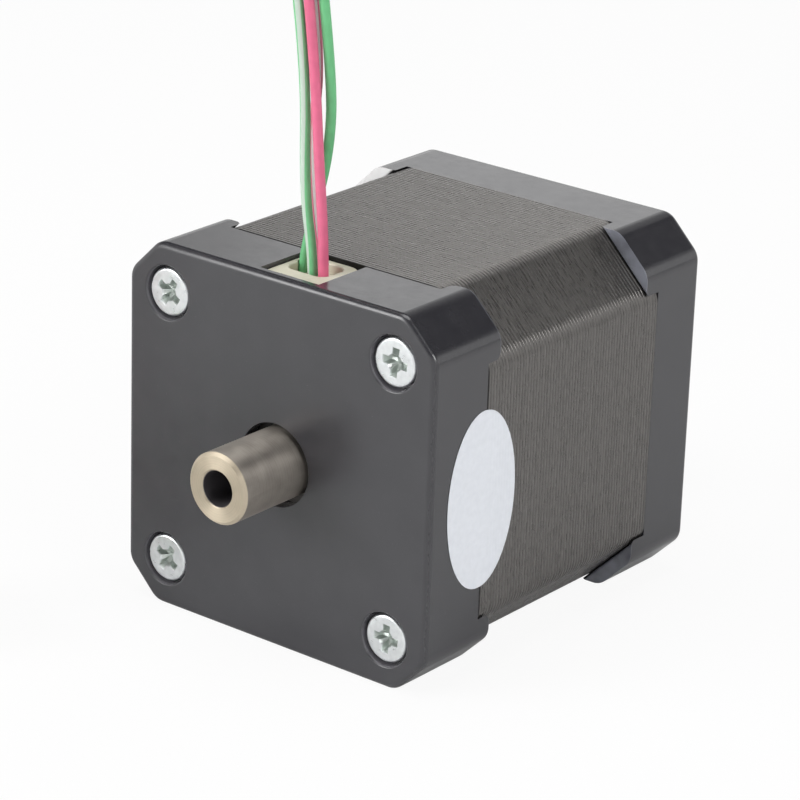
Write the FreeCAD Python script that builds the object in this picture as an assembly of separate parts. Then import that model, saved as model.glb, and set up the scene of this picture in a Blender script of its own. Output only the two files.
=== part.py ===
import FreeCAD, Part
import math
import os

from FreeCAD import Vector

# Hollow shaft stepper motor with a 42 mm square body, in millimetres.
# The shaft lies along Y. The mounting face is at y = 0 and looks along +Y. The rear end cap, with the
# screw heads and the lead exit, looks along -Y. The leads leave upwards, along +Z.

# Body
body_width = 42.0
rear_cap_depth = 9.0
stack_length = 30.5
flange_depth = 7.9
cap_corner_cut = 4.0
cap_corner_round = 2.3
cap_face_round = 0.7
stack_corner_cut = 6.6
stack_corner_round = 3.0
rear_ear_reach = 2.0
flange_ear_reach = 2.3
rear_ear_round = 0.8
flange_ear_round = 0.45
ear_gap = 0.05

# Room inside the two caps
chamber_wall = 2.6
rear_wall = 2.6
flange_wall = 3.0
hub_wall = 1.3
rear_lip = 1.8
front_lip = 1.4
rear_shaft_gap = 0.7
front_shaft_gap = 1.0
lip_relief_depth = 0.3

# Mounting face
pilot_radius = 11.0
pilot_height = 2.0
pilot_chamfer = 0.3
screw_inset = 5.5
tapped_radius = 1.25

# Tie screws
screw_radius = 1.5
screw_clearance = 0.15
head_radius = 2.7
head_height = 1.9
head_sink = 0.3
head_clearance = 0.35
counterbore_round = 0.2
head_edge_round = 0.4
thread_reach = 2.6
thread_clearance = 0.05
thread_runout = 0.2

# Shaft
shaft_radius = 4.0
shaft_bore_radius = 2.0
front_shaft_reach = 24.0
rear_shaft_reach = 9.2
shaft_chamfer = 0.35

# Bearings
bearing_radius = 9.5
bearing_width = 5.0
bearing_section = 4.5
bearing_seat_clearance = 0.01
ring_share = 1 / 3
ball_share = 4 / 15
ball_count = 9
race_clearance = 0.05
cage_wall = 0.5
cage_width = 2.8
shield_thickness = 0.25
shield_inset = 0.2
shield_gap = 0.15
washer_height = 0.8
washer_thickness = 0.25
washer_wall = 0.9
washer_edge_gap = 0.2
washer_waves = 3
washer_points_per_wave = 8

# Rotor
rotor_share = 0.519
rotor_teeth = 50
rotor_tooth_depth = 0.75
tooth_tip_share = 0.38
tooth_root_share = 0.5
rotor_inset = 0.35
cup_wall = 1.55
magnet_thickness = 3.2
magnet_inset = 1.3
magnet_clearance = 0.05
spacer_step = 0.3

# Stator poles and windings
air_gap = 0.1
pole_count = 8
teeth_per_pole = 6
stator_tooth_depth = 0.75
shoe_depth = 1.0
shoe_tip_depth = 0.5
neck_width = 3.6
slot_share = 0.81
pole_root = 0.8
insulator_plate = 0.8
insulator_side = 0.35
insulator_gap = 0.3
collar_height = 3.2
lip_width = 5.0
lip_height = 2.6
lip_setback = 0.2
winding_thickness = 2.2
winding_round = 1.4
winding_gap = 0.2
winding_clearance = 0.8

# Lead guide in the rear cap's upper wall
notch_width = 8.0
notch_shift = 0.45
notch_setback = 1.25
guide_gap = 0.1
guide_sink = 0.4
guide_corner_round = 1.8
guide_edge_round = 0.25
guide_rise = 0.3
recess_width = 5.3
recess_length = 4.0
recess_setback = 4.1
recess_depth = 1.2
recess_corner_round = 1.2
recess_shift = 0.05
collar_gap_width = 11.0

# Leads
lead_length = 300.0
lead_radius = 0.55
bend_share = 0.45
bare_end_radius = 0.25
bare_end_length = 6.0

# Coil that the spare length is wound into, and its tie
coil_x = -33.0
coil_setback = -25.0
coil_radius = 8.0
coil_entry_angle = 122.6
coil_turns = 2.4
coil_height = 9.8
lead_step = 1.3
tie_width = 3.0
tie_thickness = 0.4
tie_angle = 20.0

# Routes of the leads, from the guide to the coil: x, distance from the rear face, height above the floor
lead_routes = {
    "lead_green_white": [
        (0.6, 5.0, 42.6), (-0.9, 5.0, 50.0), (-1.0, 5.0, 63.0), (-3.3, 3.5, 83.4),
        (-13.4, -3.3, 96.4), (-27.6, -12.9, 92.1), (-31.8, -15.5, 66.9), (-31.5, -15.3, 43.0),
        (-31.7, -15.4, 27.5), (-31.5, -15.3, 18.3), (-31.9, -15.5, 12.6), (-34.3, -17.1, 8.6),
        (-37.1, -18.9, 7.6),
    ],
    "lead_pink": [
        (2.0, 5.0, 44.0), (1.0, 5.0, 53.5), (0.1, 5.0, 64.0), (-2.1, 4.2, 84.0),
        (-13.3, -2.9, 97.8), (-28.7, -12.0, 92.5), (-32.5, -14.4, 66.9), (-32.2, -14.2, 43.0),
        (-32.4, -14.3, 27.5), (-32.2, -14.2, 18.3), (-32.6, -14.4, 12.6), (-35.0, -16.0, 8.6),
        (-37.8, -17.8, 7.6),
    ],
    "lead_pink_white": [
        (0.7, 6.6, 41.8), (-0.7, 6.6, 48.5), (-1.2, 6.6, 56.5), (-0.3, 6.4, 65.0),
        (-2.9, 5.3, 84.0), (-13.8, -1.7, 98.4), (-29.8, -12.3, 93.6), (-33.6, -15.1, 67.1),
        (-33.3, -14.9, 43.0), (-33.5, -15.0, 27.5), (-33.3, -14.9, 18.3), (-33.6, -15.1, 13.0),
        (-35.6, -16.4, 9.8), (-37.8, -17.8, 8.9),
    ],
    "lead_green": [
        (-2.4, 6.8, 41.6), (-1.6, 7.8, 47.5), (0.1, 7.8, 54.5), (1.5, 6.2, 62.5),
        (-1.1, 5.0, 84.6), (-12.7, -2.9, 99.3), (-29.0, -13.8, 93.6), (-32.9, -16.2, 67.1),
        (-32.6, -16.0, 43.0), (-32.8, -16.1, 27.5), (-32.6, -16.0, 18.3), (-32.9, -16.2, 13.0),
        (-34.9, -17.5, 9.8), (-37.1, -18.9, 8.9),
    ],
}
# Column of each lead in the coil, inner or outer, and its row, lower or upper
coil_columns = {"lead_green_white": -0.5, "lead_pink": 0.5, "lead_pink_white": 0.5, "lead_green": -0.5}
coil_rows = {"lead_green_white": 0, "lead_pink": 0, "lead_pink_white": 1, "lead_green": 1}

# Places that follow from the sizes above
half_width = body_width / 2
half_spacing = half_width - screw_inset
chamber_radius = half_width - chamber_wall
stack_flat = (body_width - stack_corner_cut) / math.sqrt(2)
cap_flat = (body_width - cap_corner_cut) / math.sqrt(2)
slot_radius = half_width * slot_share
rotor_radius = half_width * rotor_share
rotor_root = rotor_radius - rotor_tooth_depth
magnet_radius = rotor_root - cup_wall
winding_outer = slot_radius - winding_clearance
guide_bottom = slot_radius + guide_rise
mounting_face = 0.0
stack_front = mounting_face - flange_depth
stack_rear = stack_front - stack_length
rear_face = stack_rear - rear_cap_depth
stack_middle = (stack_front + stack_rear) / 2
floor_z = -half_width
coil_y = rear_face + coil_setback
front_bearing_end = mounting_face + pilot_height - front_lip
front_bearing_start = front_bearing_end - bearing_width
rear_bearing_start = rear_face + rear_lip + washer_height
rear_bearing_end = rear_bearing_start + bearing_width
rear_opening_radius = shaft_radius + rear_shaft_gap
front_opening_radius = shaft_radius + front_shaft_gap
hub_radius = bearing_radius + hub_wall
journal_radius = bearing_radius - bearing_section
inner_ring_radius = journal_radius + bearing_section * ring_share
outer_ring_bore_radius = bearing_radius - bearing_section * ring_share
pitch_radius = (inner_ring_radius + outer_ring_bore_radius) / 2
ball_radius = bearing_section * ball_share
spacer_radius = inner_ring_radius - spacer_step
magnet_front = stack_middle + magnet_thickness / 2
magnet_rear = stack_middle - magnet_thickness / 2
cup_gap = magnet_thickness - 2 * magnet_inset
cup_length = stack_length / 2 - cup_gap / 2 - rotor_inset
rotor_front = stack_middle + cup_gap / 2 + cup_length
rotor_rear = stack_middle - cup_gap / 2 - cup_length
stator_bore = rotor_radius + air_gap
stator_root = stator_bore + stator_tooth_depth
shoe_back = stator_root + shoe_depth
tooth_pitch = 2 * math.pi / rotor_teeth
tooth_tip_half = tooth_pitch * tooth_tip_share / 2
tooth_root_half = tooth_pitch * tooth_root_share / 2
winding_half_opening = neck_width / 2 + insulator_side
notch_left = notch_shift - notch_width / 2
notch_right = notch_shift + notch_width / 2
notch_start = rear_face + notch_setback
guide_top = half_width - guide_sink
bundle_half = lead_step / math.sqrt(2) + lead_radius
full_turn = 360.0
corner_count = 4
corner_step = full_turn / corner_count
touching = 1e-5
shaft_line = Vector(0, 1, 0)
centre = Vector(0, 0, 0)


def bar(radius, y_start, y_end, x=0, z=0):
    """Round bar along the shaft's direction."""
    return Part.makeCylinder(radius, y_end - y_start, Vector(x, y_start, z), shaft_line)


def ring(outer, inner, y_start, y_end):
    """Round ring about the shaft's axis."""
    return bar(outer, y_start, y_end).cut(bar(inner, y_start, y_end))


def block(x_start, x_end, y_start, y_end, z_start, z_end):
    """Square block between two corners."""
    corner = Vector(x_start, y_start, z_start)
    return Part.makeBox(x_end - x_start, y_end - y_start, z_end - z_start, corner)


def prism(corners, y_start, y_end):
    """Outline of (x, z) corners carried along the shaft's direction."""
    points = [Vector(x, y_start, z) for x, z in corners]
    face = Part.Face(Part.makePolygon(points + points[:1]))
    return face.extrude(Vector(0, y_end - y_start, 0))


def turned(profile):
    """Outline of (radius, y) corners turned about the shaft's axis."""
    points = [Vector(radius, y, 0) for radius, y in profile]
    return Part.Face(Part.makePolygon(points + points[:1])).revolve(centre, shaft_line, full_turn)


def spun(shape, degrees):
    """Copy of a shape, turned about the shaft's axis."""
    copy = shape.copy()
    copy.rotate(centre, shaft_line, degrees)
    return copy


def polar(radius, angle):
    """The (x, z) corner at an angle from straight up."""
    return radius * math.sin(angle), radius * math.cos(angle)


def quarters(make):
    """The four shapes that make(sign_x, sign_z) gives for the body's corners."""
    return [make(sign_x, sign_z) for sign_x in (-1, 1) for sign_z in (-1, 1)]


def cut_corner_body(corner_cut, corner_round, y_start, y_end):
    """Square bar with cut corners and rounded long edges."""
    near = half_width - corner_cut
    corners = [
        (half_width, -near), (half_width, near), (near, half_width), (-near, half_width),
        (-half_width, near), (-half_width, -near), (-near, -half_width), (near, -half_width),
    ]
    body = prism(corners, y_start, y_end)
    long_edges = [edge for edge in body.Edges if abs(edge.tangentAt(edge.FirstParameter).y) > 0.5]
    return body.makeFillet(corner_round, long_edges)


def edges_at(shape, y):
    """Edges of a shape that lie in the plane across the shaft at y."""
    def off_plane(box):
        return max(abs(box.YMin - y), abs(box.YMax - y))

    return [edge for edge in shape.Edges if off_plane(edge.BoundBox) < touching]


def is_circle(edge, radius):
    """Whether an edge is a full circle of a radius."""
    return isinstance(edge.Curve, Part.Circle) and abs(edge.Curve.Radius - radius) < touching


def cap_ears(rim, tip, tip_round):
    """Corner ears of a cap, which reach from its rim over the stack's cut corners.

    Underneath, an ear rounds away from the stack at its tip.
    """
    y_start, y_end = sorted((rim, tip))
    ear = block(-half_width, half_width, y_start, y_end, stack_flat + ear_gap, cap_flat)
    lower_tip = [edge for edge in edges_at(ear, tip) if edge.BoundBox.ZMax < cap_flat - touching]
    ear = ear.makeFillet(tip_round, lower_tip)
    envelope = cut_corner_body(cap_corner_cut, cap_corner_round, y_start, y_end)
    return [spun(ear, corner_step * (number + 0.5)).common(envelope) for number in range(corner_count)]


def screw_bars(radius, y_start, y_end):
    """Four bars at the tie screws' places."""
    def one(sign_x, sign_z):
        return bar(radius, y_start, y_end, sign_x * half_spacing, sign_z * half_spacing)

    return quarters(one)


def rear_end_cap():
    """Cast cap with the bearing's hub, counterbored screw holes and the notch for the lead guide."""
    cap = cut_corner_body(cap_corner_cut, cap_corner_round, rear_face, stack_rear)
    cap = cap.makeFillet(cap_face_round, edges_at(cap, rear_face))
    cap = cap.cut(bar(chamber_radius, rear_face + rear_wall, stack_rear))
    cap = cap.fuse(bar(hub_radius, rear_face + rear_lip, rear_bearing_end))
    cap = cap.cut(bar(bearing_radius + bearing_seat_clearance, rear_face + rear_lip, rear_bearing_end))
    cap = cap.cut(bar(rear_opening_radius, rear_face, rear_bearing_end))
    cap = cap.cut(screw_bars(screw_radius + screw_clearance, rear_face, stack_rear))
    sink = rear_face + head_sink + head_height
    counterbore_radius = head_radius + head_clearance
    cap = cap.cut(screw_bars(counterbore_radius, rear_face, sink))
    mouths = [edge for edge in edges_at(cap, rear_face) if is_circle(edge, counterbore_radius)]
    cap = cap.makeFillet(counterbore_round, mouths)
    cap = cap.cut(block(notch_left, notch_right, notch_start, stack_rear, guide_bottom, half_width))
    ears = cap_ears(stack_rear, stack_rear + rear_ear_reach, rear_ear_round)
    return cap.fuse(ears).removeSplitter()


def front_flange():
    """Cast mounting flange with its pilot, tapped holes and the bearing's hub."""
    flange = cut_corner_body(cap_corner_cut, cap_corner_round, stack_front, mounting_face)
    flange = flange.makeFillet(cap_face_round, edges_at(flange, mounting_face))
    flange = flange.cut(bar(chamber_radius, stack_front, mounting_face - flange_wall))
    pilot_end = mounting_face + pilot_height
    pilot = bar(pilot_radius, mounting_face - flange_wall, pilot_end)
    pilot = pilot.makeChamfer(pilot_chamfer, edges_at(pilot, pilot_end))
    flange = flange.fuse([pilot, bar(hub_radius, front_bearing_start, mounting_face)])
    flange = flange.cut(bar(bearing_radius + bearing_seat_clearance, front_bearing_start, front_bearing_end))
    flange = flange.cut(bar(pitch_radius, front_bearing_end, front_bearing_end + lip_relief_depth))
    flange = flange.cut(bar(front_opening_radius, front_bearing_end, pilot_end))
    flange = flange.cut(screw_bars(tapped_radius, stack_front, mounting_face))
    thread_end = stack_front + thread_reach + thread_runout
    flange = flange.cut(screw_bars(screw_radius + thread_clearance, stack_front, thread_end))
    ears = cap_ears(stack_front, stack_front - flange_ear_reach, flange_ear_round)
    return flange.fuse(ears).removeSplitter()


def tooth(root, tip, middle):
    """Four corners of a tooth whose middle is at an angle."""
    return [
        polar(root, middle - tooth_root_half), polar(tip, middle - tooth_tip_half),
        polar(tip, middle + tooth_tip_half), polar(root, middle + tooth_root_half),
    ]


def stator_stack():
    """Laminated iron with eight toothed poles that point at the shaft."""
    half_neck = neck_width / 2
    half_span = (teeth_per_pole - 1) / 2 * tooth_pitch + tooth_root_half
    tip_back = stator_root + shoe_tip_depth
    pole_end = slot_radius + pole_root
    corners = [(-half_neck, pole_end), (-half_neck, shoe_back), polar(tip_back, -half_span)]
    for number in range(teeth_per_pole):
        corners += tooth(stator_root, stator_bore, (number - (teeth_per_pole - 1) / 2) * tooth_pitch)
    corners += [polar(tip_back, half_span), (half_neck, shoe_back), (half_neck, pole_end)]
    pole = prism(corners, stack_rear, stack_front)
    stack = cut_corner_body(stack_corner_cut, stack_corner_round, stack_rear, stack_front)
    stack = stack.cut(bar(slot_radius, stack_rear, stack_front))
    stack = stack.cut(screw_bars(screw_radius + screw_clearance, stack_rear, stack_front))
    poles = [spun(pole, full_turn / pole_count * number) for number in range(pole_count)]
    return stack.fuse(poles).removeSplitter()


def insulator(end, outward, lead_gap):
    """Moulded insulator on one end of the stack: a collar, and an arm and an inner lip over each pole."""
    def slab(x_half, z_start, z_end, height):
        y_start, y_end = sorted((end, end + outward * height))
        return block(-x_half, x_half, y_start, y_end, z_start, z_end)

    collar = ring(chamber_radius - insulator_gap, slot_radius, *sorted((end, end + outward * collar_height)))
    if lead_gap:
        collar = collar.cut(slab(collar_gap_width / 2, 0, half_width, collar_height))
        bridge_top = guide_bottom - guide_gap
        bridge_half = collar_gap_width / 2 + insulator_gap
        collar = collar.fuse(slab(bridge_half, bridge_top - insulator_plate, bridge_top, insulator_plate))
    arm = slab(winding_half_opening, shoe_back - lip_setback, slot_radius + guide_gap, insulator_plate)
    lip = slab(lip_width / 2, stator_root + lip_setback, shoe_back, lip_height)
    finger = arm.fuse(lip)
    fingers = [spun(finger, full_turn / pole_count * number) for number in range(pole_count)]
    return collar.fuse(fingers).removeSplitter()


def winding(number):
    """Coil of enamelled wire round one pole, between the insulators' arms and clear of the slot."""
    half_length = stack_length / 2 + insulator_plate
    z_start = shoe_back + winding_gap
    outer_half = winding_half_opening + winding_thickness
    outer_length = half_length + winding_thickness
    outside = block(
        -outer_half, outer_half,
        stack_middle - outer_length, stack_middle + outer_length, z_start, winding_outer,
    )
    outside = outside.makeFillet(winding_round, [edge for edge in outside.Edges if is_upright(edge)])
    inside = block(
        -winding_half_opening, winding_half_opening,
        stack_middle - half_length, stack_middle + half_length, z_start, winding_outer,
    )
    return spun(outside.cut(inside), full_turn / pole_count * number)


def is_upright(edge):
    """Whether a straight edge runs along Z."""
    return abs(edge.tangentAt(edge.FirstParameter).z) > 0.5


def bearing(y_start):
    """Shielded ball bearing: outer ring, inner ring, balls, cage and its two shields."""
    y_end = y_start + bearing_width
    middle = (y_start + y_end) / 2
    groove = Part.makeTorus(pitch_radius, ball_radius + race_clearance, Vector(0, middle, 0), shaft_line)
    ball = Part.makeSphere(ball_radius, Vector(0, middle, pitch_radius))
    balls = [spun(ball, full_turn / ball_count * number) for number in range(ball_count)]
    cage_inner = pitch_radius - cage_wall / 2
    cage = ring(cage_inner + cage_wall, cage_inner, middle - cage_width / 2, middle + cage_width / 2)

    def shield(start):
        return ring(outer_ring_bore_radius, inner_ring_radius + shield_gap, start, start + shield_thickness)

    shields = [shield(y_start + shield_inset), shield(y_end - shield_inset - shield_thickness)]
    return {
        "outer_ring": ring(bearing_radius, outer_ring_bore_radius, y_start, y_end).cut(groove),
        "inner_ring": ring(inner_ring_radius, journal_radius, y_start, y_end).cut(groove),
        "balls": Part.makeCompound(balls),
        "cage": cage.cut(balls),
        "shields": Part.makeCompound(shields),
    }


def wave_washer():
    """Spring washer whose waves press the rear bearing away from the cap."""
    middle = rear_face + rear_lip + washer_height / 2
    swing = (washer_height - washer_thickness) / 2
    outer = bearing_radius - washer_edge_gap
    count = washer_waves * washer_points_per_wave

    def loop(radius, lift):
        points = []
        for step in range(count):
            angle = 2 * math.pi * step / count
            x, z = polar(radius, angle)
            points.append(Vector(x, middle + lift + swing * math.cos(washer_waves * angle), z))
        curve = Part.BSplineCurve()
        curve.interpolate(points, PeriodicFlag=True)
        return curve.toShape()

    lower_outer = loop(outer, -washer_thickness / 2)
    upper_outer = loop(outer, washer_thickness / 2)
    lower_inner = loop(outer - washer_wall, -washer_thickness / 2)
    upper_inner = loop(outer - washer_wall, washer_thickness / 2)
    pairs = [
        (lower_outer, upper_outer), (upper_outer, upper_inner),
        (upper_inner, lower_inner), (lower_inner, lower_outer),
    ]
    shell = Part.Shell([Part.makeRuledSurface(first, second) for first, second in pairs])
    shell.sewShape()
    solid = Part.Solid(Part.Shell(shell.Faces))
    return solid if solid.Volume > 0 else solid.reversed()


def hollow_shaft():
    """Through-bored shaft with chamfered ends, thicker between the outer faces of the bearings."""
    front = mounting_face + front_shaft_reach
    rear = rear_face - rear_shaft_reach
    edge = shaft_chamfer
    return turned([
        (shaft_bore_radius + edge / 2, rear), (shaft_radius - edge, rear), (shaft_radius, rear + edge),
        (shaft_radius, rear_bearing_start), (journal_radius, rear_bearing_start),
        (journal_radius, front_bearing_end), (shaft_radius, front_bearing_end),
        (shaft_radius, front - edge), (shaft_radius - edge, front), (shaft_bore_radius + edge / 2, front),
        (shaft_bore_radius, front - edge / 2), (shaft_bore_radius, rear + edge / 2),
    ])


def rotor_cup(y_start, magnet_end, offset):
    """Toothed cup of the rotor, with a pocket for half of the magnet."""
    corners = []
    for number in range(rotor_teeth):
        corners += tooth(rotor_root, rotor_radius, (number + offset) * tooth_pitch)
    cup = prism(corners, y_start, y_start + cup_length)
    pocket_start, pocket_end = sorted((magnet_end, stack_middle))
    pocket = bar(magnet_radius + magnet_clearance, pocket_start, pocket_end)
    return cup.cut(pocket).cut(bar(journal_radius, y_start, y_start + cup_length))


def tie_screws():
    """Four long screws that hold the cap, the stack and the flange together."""
    head_start = rear_face + head_sink
    head_end = head_start + head_height
    thread_end = stack_front + thread_reach

    def screw(sign_x, sign_z):
        x, z = sign_x * half_spacing, sign_z * half_spacing
        head = bar(head_radius, head_start, head_end, x, z)
        head = head.makeFillet(head_edge_round, edges_at(head, head_start))
        return head.fuse(bar(screw_radius, head_end, thread_end, x, z))

    return Part.makeCompound(quarters(screw))


def lead_guide():
    """Moulded guide in the cap's notch, with a recess and a close hole for each lead."""
    guide = block(
        notch_left + guide_gap, notch_right - guide_gap,
        notch_start + guide_gap, stack_rear, guide_bottom, guide_top,
    )
    uprights = [edge for edge in guide.Edges if is_upright(edge)]
    inner_corners = [edge for edge in uprights if edge.BoundBox.YMax > stack_rear - touching]
    guide = guide.makeFillet(guide_corner_round, inner_corners)
    recess_start = rear_face + recess_setback
    recess = block(
        recess_shift - recess_width / 2, recess_shift + recess_width / 2,
        recess_start, recess_start + recess_length, guide_top - recess_depth, guide_top,
    )
    recess = recess.makeFillet(recess_corner_round, [edge for edge in recess.Edges if is_upright(edge)])
    guide = guide.cut(recess)
    top_edges = [edge for edge in guide.Edges if edge.BoundBox.ZMin > guide_top - touching]
    guide = guide.makeFillet(guide_edge_round, top_edges)
    holes = [
        Part.makeCylinder(lead_radius, guide_top - guide_bottom, route_points(route)[0])
        for route in lead_routes.values()
    ]
    return guide.cut(holes)


def route_points(route):
    """Points of a lead: straight up from the guide's underside, then along its route."""
    points = [Vector(x, rear_face + distance, floor_z + height) for x, distance, height in route]
    return [Vector(points[0].x, points[0].y, guide_bottom)] + points


def lead_path(points):
    """Straight runs joined by tangent arcs, each as large as its two runs allow."""
    edges = []
    start = points[0]
    for before, corner, after in zip(points, points[1:], points[2:]):
        to_before = before - corner
        to_after = after - corner
        reach = bend_share * min(to_before.Length, to_after.Length)
        half_turn = (math.pi - to_before.getAngle(to_after)) / 2
        radius = reach / math.tan(half_turn)
        arc_start = corner + to_before.normalize() * reach
        arc_end = corner + to_after.normalize() * reach
        inwards = (to_before + to_after).normalize()
        arc_middle = corner + inwards * (radius / math.cos(half_turn) - radius)
        edges.append(Part.LineSegment(start, arc_start).toShape())
        edges.append(Part.Arc(arc_start, arc_middle, arc_end).toShape())
        start = arc_end
    edges.append(Part.LineSegment(start, points[-1]).toShape())
    return Part.Wire(edges)


def lead_tube(route):
    """Plain tube of one lead along its route, and the route's length."""
    points = route_points(route)
    path = lead_path(points)
    section = Part.Wire(Part.makeCircle(lead_radius, points[0], points[1] - points[0]))
    return path.makePipeShell([section], True, False), path.Length


def lead_coil(tie):
    """Outer shape of the wound leads, drawn in where the tie holds them."""
    base = Vector(coil_x, coil_y, floor_z)
    outside = Part.makeCylinder(coil_radius + bundle_half, coil_height, base)
    return outside.cut(Part.makeCylinder(coil_radius - bundle_half, coil_height, base)).cut(tie)


def lead_tie():
    """Band round the wound leads, square to their turns."""
    inner = block(
        coil_radius - bundle_half, coil_radius + bundle_half, -tie_width / 2, tie_width / 2,
        tie_thickness, coil_height - tie_thickness,
    )
    outer = block(
        coil_radius - bundle_half - tie_thickness, coil_radius + bundle_half + tie_thickness,
        -tie_width / 2, tie_width / 2, 0, coil_height,
    )
    band = outer.cut(inner)
    band.rotate(centre, Vector(0, 0, 1), tie_angle)
    band.translate(Vector(coil_x, coil_y, floor_z))
    return band


def bare_end(name, tube_length):
    """Tinned end of one lead, straight out of the coil after the wound turns."""
    column = coil_radius + coil_columns[name] * lead_step
    height = floor_z + lead_radius + coil_rows[name] * lead_step
    tail = lead_length - tube_length - coil_turns * 2 * math.pi * coil_radius
    angle = math.radians(coil_entry_angle) + coil_turns * 2 * math.pi
    tangent = Vector(-math.sin(angle), math.cos(angle), 0)
    place = Vector(coil_x + column * math.cos(angle), coil_y + column * math.sin(angle), height)
    start = place + tangent * (tail - bare_end_length)
    return Part.makeCylinder(bare_end_radius, bare_end_length, start, tangent)


parts = {
    "rear_end_cap": rear_end_cap(),
    "front_flange": front_flange(),
    "stator_stack": stator_stack(),
    "front_insulator": insulator(stack_front, 1, False),
    "rear_insulator": insulator(stack_rear, -1, True),
    "wave_washer": wave_washer(),
    "tie_screws": tie_screws(),
    "lead_guide": lead_guide(),
    "hollow_shaft": hollow_shaft(),
    "rotor_cup_front": rotor_cup(stack_middle + cup_gap / 2, magnet_front, 0),
    "rotor_cup_rear": rotor_cup(rotor_rear, magnet_rear, 0.5),
    "rotor_magnet": ring(magnet_radius, journal_radius, magnet_rear, magnet_front),
    "front_spacer": ring(spacer_radius, journal_radius, rotor_front, front_bearing_start),
    "rear_spacer": ring(spacer_radius, journal_radius, rear_bearing_end, rotor_rear),
}
for number in range(pole_count):
    parts["winding_" + str(number + 1)] = winding(number)
for side, start in (("front", front_bearing_start), ("rear", rear_bearing_start)):
    for piece, shape in bearing(start).items():
        parts[side + "_bearing_" + piece] = shape
parts["lead_tie"] = lead_tie()
parts["lead_coil"] = lead_coil(parts["lead_tie"])
for name, route in lead_routes.items():
    parts[name], tube_length = lead_tube(route)
    parts[name.replace("lead_", "bare_end_")] = bare_end(name, tube_length)

os.makedirs("parts", exist_ok=True)
for name, shape in parts.items():
    shape.exportStep("parts/" + name + ".step")
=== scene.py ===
import math

import bmesh
import bpy
import numpy as np
from mathutils import Matrix, Vector


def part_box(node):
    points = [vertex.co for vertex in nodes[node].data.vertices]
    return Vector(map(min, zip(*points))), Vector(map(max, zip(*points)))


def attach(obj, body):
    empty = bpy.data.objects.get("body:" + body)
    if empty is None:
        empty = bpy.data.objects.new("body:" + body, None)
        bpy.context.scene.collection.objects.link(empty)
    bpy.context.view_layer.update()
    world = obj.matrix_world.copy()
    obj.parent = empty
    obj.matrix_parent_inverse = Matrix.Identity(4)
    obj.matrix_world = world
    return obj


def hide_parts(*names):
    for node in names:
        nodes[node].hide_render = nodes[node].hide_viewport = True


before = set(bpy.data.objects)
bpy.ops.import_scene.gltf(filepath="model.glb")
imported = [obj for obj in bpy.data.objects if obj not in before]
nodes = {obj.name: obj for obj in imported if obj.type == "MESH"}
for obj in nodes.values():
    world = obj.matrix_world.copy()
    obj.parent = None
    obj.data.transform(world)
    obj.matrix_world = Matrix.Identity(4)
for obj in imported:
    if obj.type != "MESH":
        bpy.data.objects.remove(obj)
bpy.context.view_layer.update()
mm = 0.001
full_turn = 2 * math.pi

# Places read from the parts of model.glb
cap_low, cap_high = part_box("rear_end_cap")
stack_low, stack_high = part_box("stator_stack")
guide_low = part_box("lead_guide")[0]
screw_low, screw_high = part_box("tie_screws")
flange_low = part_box("front_flange")[0]
shaft_low, shaft_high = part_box("hollow_shaft")
half_width = cap_high.x
rear_face = cap_low.y
floor_z = cap_low.z

# Camera
camera_azimuth = math.radians(38.064)
camera_elevation = math.radians(21.201)
camera_roll = math.radians(1.947)
camera_place = Vector((224.13, -265.02, 142.39)) * mm + Vector((0, rear_face, 0))
camera_sensor = 36.0
camera_lens = 159.25

# Leads, with routes as x, distance from the rear face and height above the floor, in millimetres
lead_radius = 0.55 * mm
lead_steps = 10
lead_section_steps = 6
lead_routes = {
    "green_white": [
        (0.6, 5.0, 42.6), (-0.9, 5.0, 50.0), (-1.0, 5.0, 63.0), (-3.3, 3.5, 83.4),
        (-13.4, -3.3, 96.4), (-27.6, -12.9, 92.1), (-31.8, -15.5, 66.9), (-31.5, -15.3, 43.0),
        (-31.7, -15.4, 27.5), (-31.5, -15.3, 18.3), (-31.9, -15.5, 12.6), (-34.3, -17.1, 8.6),
        (-37.1, -18.9, 7.6),
    ],
    "pink": [
        (2.0, 5.0, 44.0), (1.0, 5.0, 53.5), (0.1, 5.0, 64.0), (-2.1, 4.2, 84.0),
        (-13.3, -2.9, 97.8), (-28.7, -12.0, 92.5), (-32.5, -14.4, 66.9), (-32.2, -14.2, 43.0),
        (-32.4, -14.3, 27.5), (-32.2, -14.2, 18.3), (-32.6, -14.4, 12.6), (-35.0, -16.0, 8.6),
        (-37.8, -17.8, 7.6),
    ],
    "pink_white": [
        (0.7, 6.6, 41.8), (-0.7, 6.6, 48.5), (-1.2, 6.6, 56.5), (-0.3, 6.4, 65.0),
        (-2.9, 5.3, 84.0), (-13.8, -1.7, 98.4), (-29.8, -12.3, 93.6), (-33.6, -15.1, 67.1),
        (-33.3, -14.9, 43.0), (-33.5, -15.0, 27.5), (-33.3, -14.9, 18.3), (-33.6, -15.1, 13.0),
        (-35.6, -16.4, 9.8), (-37.8, -17.8, 8.9),
    ],
    "green": [
        (-2.4, 6.8, 41.6), (-1.6, 7.8, 47.5), (0.1, 7.8, 54.5), (1.5, 6.2, 62.5),
        (-1.1, 5.0, 84.6), (-12.7, -2.9, 99.3), (-29.0, -13.8, 93.6), (-32.9, -16.2, 67.1),
        (-32.6, -16.0, 43.0), (-32.8, -16.1, 27.5), (-32.6, -16.0, 18.3), (-32.9, -16.2, 13.0),
        (-34.9, -17.5, 9.8), (-37.1, -18.9, 8.9),
    ],
}

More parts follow.
